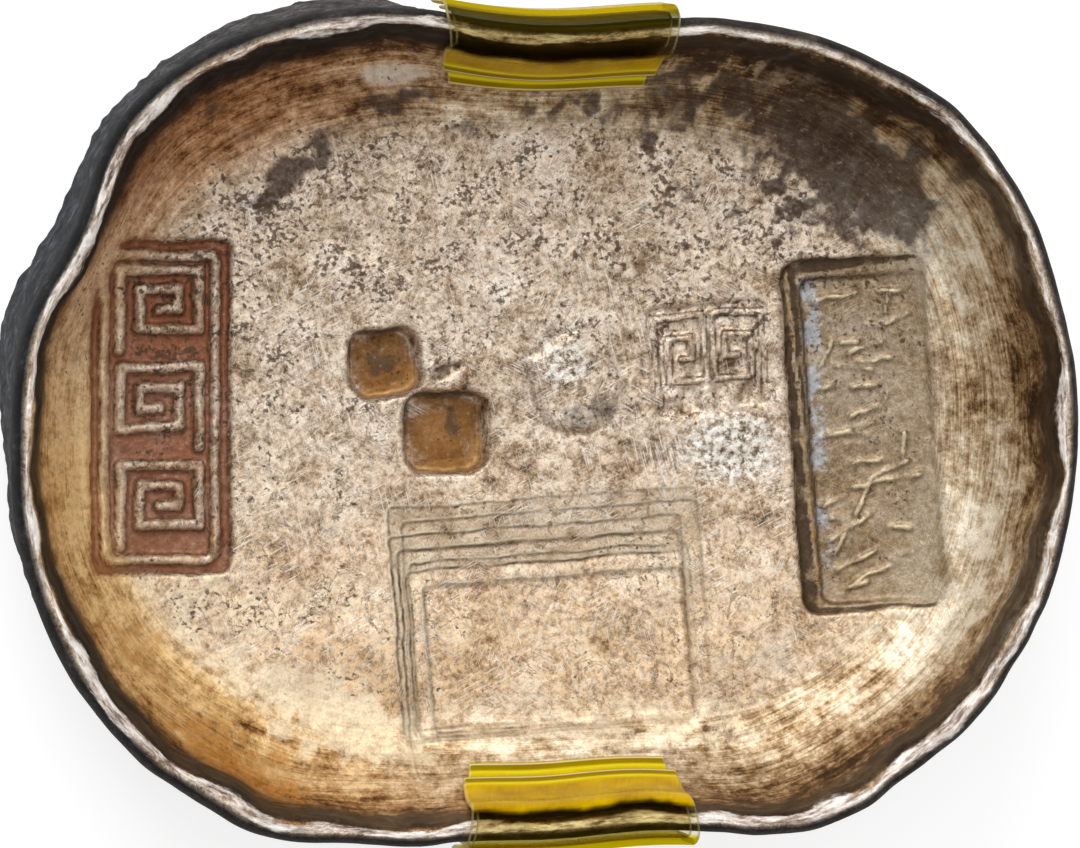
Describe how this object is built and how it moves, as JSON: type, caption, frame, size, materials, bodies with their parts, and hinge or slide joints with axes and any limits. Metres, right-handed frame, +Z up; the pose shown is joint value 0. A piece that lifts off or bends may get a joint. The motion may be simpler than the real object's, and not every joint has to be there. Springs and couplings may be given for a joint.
{
  "type": "silver trough ingot",
  "caption": "Oval trough-shaped cast silver ingot with a rolled rim, sunk struck marks on its floor and a push-on translucent clip over each long side of the rim.",
  "frame": {"origin": "middle of the flat resting base, under the middle of the trough", "axes": "+X along the ingot's length, +Y across it to the rear, +Z up out of the trough"},
  "size_m": [0.0622, 0.0495, 0.0159],
  "materials": {
    "silver": "worn cast silver with brown patina",
    "amber_sleeve": "translucent amber",
    "amber_liner": "translucent pale amber"
  },
  "bodies": {
    "ingot": {"ingot": "silver"},
    "rear_clip": {"rear_clip_sleeve": "amber_sleeve", "rear_clip_liner": "amber_liner"},
    "front_clip": {"front_clip_sleeve": "amber_sleeve", "front_clip_liner": "amber_liner"}
  },
  "joints": [
    {"name": "rear_clip_lift", "type": "slide", "parent": "ingot", "child": "rear_clip", "axis": [0, 0, 1], "range_m": [0, 0.012]},
    {"name": "front_clip_lift", "type": "slide", "parent": "ingot", "child": "front_clip", "axis": [0, 0, 1], "range_m": [0, 0.012]}
  ]
}
